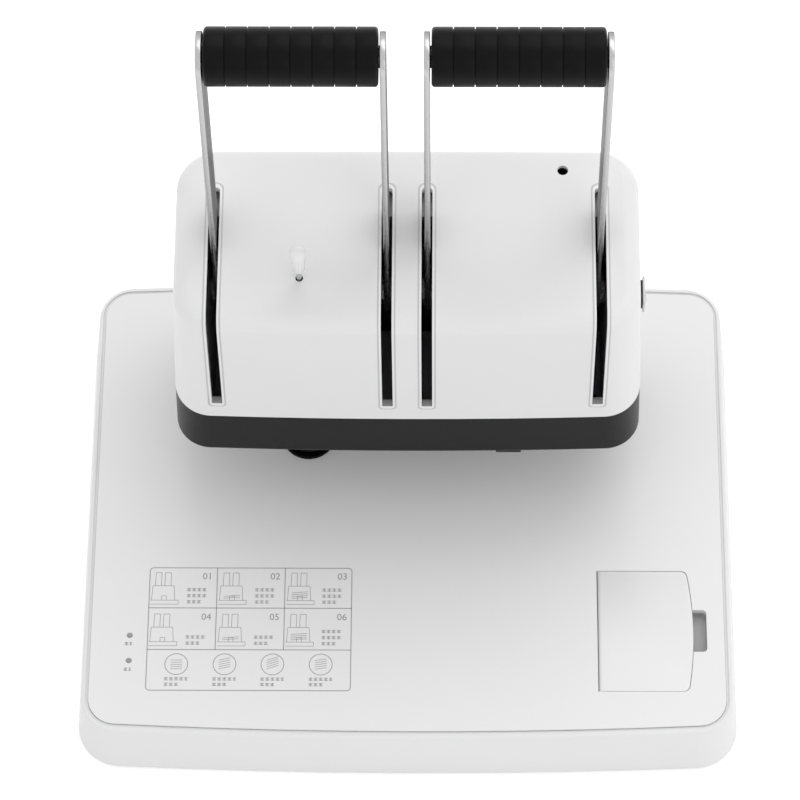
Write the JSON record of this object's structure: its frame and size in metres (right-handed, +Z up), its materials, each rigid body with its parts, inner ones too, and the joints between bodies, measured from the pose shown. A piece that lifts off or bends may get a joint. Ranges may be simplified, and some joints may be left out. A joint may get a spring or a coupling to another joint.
{
  "type": "rivet binding machine",
  "caption": "Desk binding machine: wide base, dark-skirted head over a throat, hinged levers that lower a hollow drill and a hot rivet press, small lidded store",
  "frame": {"origin": "on the surface it stands on, in the middle of the base's box", "axes": "+Z up, +Y to the back (the column), +X to the right as the user sees it from the front"},
  "size_m": [0.3898, 0.3088, 0.4155],
  "materials": {
    "white_abs": "moulded ABS, warm white, fine satin grain",
    "table_laminate": "white laminated sheet with a printed grid of lines",
    "dark_abs": "moulded ABS, near black, satin",
    "trim_plastic": "light grey moulded edge trim",
    "grip_foam": "black ribbed foam rubber",
    "foot_rubber": "black rubber",
    "handle_steel": "satin nickel plated flat steel",
    "bright_steel": "ground and polished steel",
    "frame_steel": "grey powder coated steel plate",
    "zinc_steel": "zinc plated steel",
    "gear_steel": "cut and oiled steel",
    "tool_steel": "hardened tool steel, turned",
    "carriage_aluminium": "milled aluminium",
    "heater_brass": "brass heater block",
    "bush_bronze": "sintered bronze",
    "insulator": "white heat resisting washer",
    "pad_nylon": "white nylon",
    "guide_plastic": "black moulded nylon",
    "knob_plastic": "white moulded plastic",
    "blackened_steel": "blackened steel",
    "bezel_plastic": "light grey moulded bezel on a black neck",
    "switch_plastic": "black glossy plastic",
    "lens": "frosted clear plastic lens",
    "light_pipe": "smoke grey light pipes",
    "tray_plastic": "light grey moulded box with its finger notch",
    "rocker_plastic": "light grey glossy plastic",
    "board": "green circuit board with black parts",
    "contact_brass": "tinned brass blades"
  },
  "bodies": {
    "base": {"base_shell": "white_abs", "table_plate": "table_laminate", "bottom_sheet": "zinc_steel", "base_screws": "zinc_steel", "rubber_feet": "foot_rubber", "storage_tray": "tray_plastic", "lower_die": "blackened_steel", "anvil_ring": "blackened_steel", "lower_heater": "heater_brass", "drill_pad": "pad_nylon", "tool_posts": "gear_steel", "column_casing": "white_abs", "rear_cover": "white_abs", "casing_screws": "zinc_steel", "power_inlet": "switch_plastic", "inlet_blades": "contact_brass", "frame_foot": "frame_steel", "frame_uprights": "frame_steel", "frame_back_plate": "frame_steel", "head_plate": "frame_steel", "guide_bridge": "frame_steel", "guide_rods": "bright_steel", "axle_bushes": "bush_bronze", "tube_guide": "guide_plastic", "head_skirt": "dark_abs", "top_cover": "white_abs", "slot_trims": "trim_plastic", "lamp_housing": "dark_abs", "lamp_lens": "lens", "control_board": "board", "indicator_lights": "light_pipe", "switch_housing": "bezel_plastic"},
    "left_handle": {"left_arms": "handle_steel", "left_axle": "bright_steel", "left_grip": "grip_foam", "left_grip_bar": "handle_steel", "left_return_spring": "gear_steel", "left_sector_gears": "gear_steel"},
    "right_handle": {"right_arms": "handle_steel", "right_axle": "bright_steel", "right_grip": "grip_foam", "right_grip_bar": "handle_steel", "right_return_spring": "gear_steel", "right_sector_gears": "gear_steel"},
    "press_slide": {"press_carriage": "carriage_aluminium", "left_racks": "gear_steel", "press_shaft": "gear_steel", "heat_insulator": "insulator", "upper_heater": "heater_brass", "upper_die": "tool_steel"},
    "drill_slide": {"drill_carriage": "carriage_aluminium", "right_racks": "gear_steel", "drill_motor": "zinc_steel", "spindle_bearings": "bright_steel"},
    "drill_tool": {"drill_spindle": "tool_steel", "drill_bit": "tool_steel"},
    "pin_and_knob": {"locating_pin": "bright_steel", "pin_knob": "knob_plastic"},
    "lid": {"storage_lid": "table_laminate"},
    "rocker": {"switch_rocker": "rocker_plastic"}
  },
  "joints": [
    {"name": "left_handle_pull", "type": "hinge", "parent": "base", "child": "left_handle", "pos_m": [-0.06024, 0.07525, 0.178], "axis": [1, 0, 0], "range_deg": [0, 95], "stiffness_Nm_per_rad": 0.6, "springref_deg": -57.3},
    {"name": "right_handle_pull", "type": "hinge", "parent": "base", "child": "right_handle", "pos_m": [0.06024, 0.07525, 0.178], "axis": [1, 0, 0], "range_deg": [0, 95], "stiffness_Nm_per_rad": 0.6, "springref_deg": -57.3},
    {"name": "press_stroke", "type": "slide", "parent": "base", "child": "press_slide", "axis": [0, 0, -1], "range_m": [0, 0.0498]},
    {"name": "drill_feed", "type": "slide", "parent": "base", "child": "drill_slide", "axis": [0, 0, -1], "range_m": [0, 0.0498]},
    {"name": "drill_spin", "type": "hinge", "parent": "drill_slide", "child": "drill_tool", "pos_m": [0.06024, 0.04815, 0.15], "axis": [0, 0, 1], "continuous": true},
    {"name": "pin_lift", "type": "slide", "parent": "base", "child": "pin_and_knob", "axis": [0, 0, 1], "range_m": [0, 0.12]},
    {"name": "lid_hinge", "type": "hinge", "parent": "base", "child": "lid", "pos_m": [0.1144, -0.0806, 0.0418], "axis": [0, -1, 0], "range_deg": [0, 95]},
    {"name": "power_switch", "type": "hinge", "parent": "base", "child": "rocker", "pos_m": [0.13231, 0.0563, 0.204], "axis": [0, 0, -1], "range_deg": [0, 16]}
  ],
  "couplings": [
    {"joint": "press_stroke", "follows": "left_handle_pull", "m_per_rad": 0.03},
    {"joint": "drill_feed", "follows": "right_handle_pull", "m_per_rad": 0.03}
  ]
}
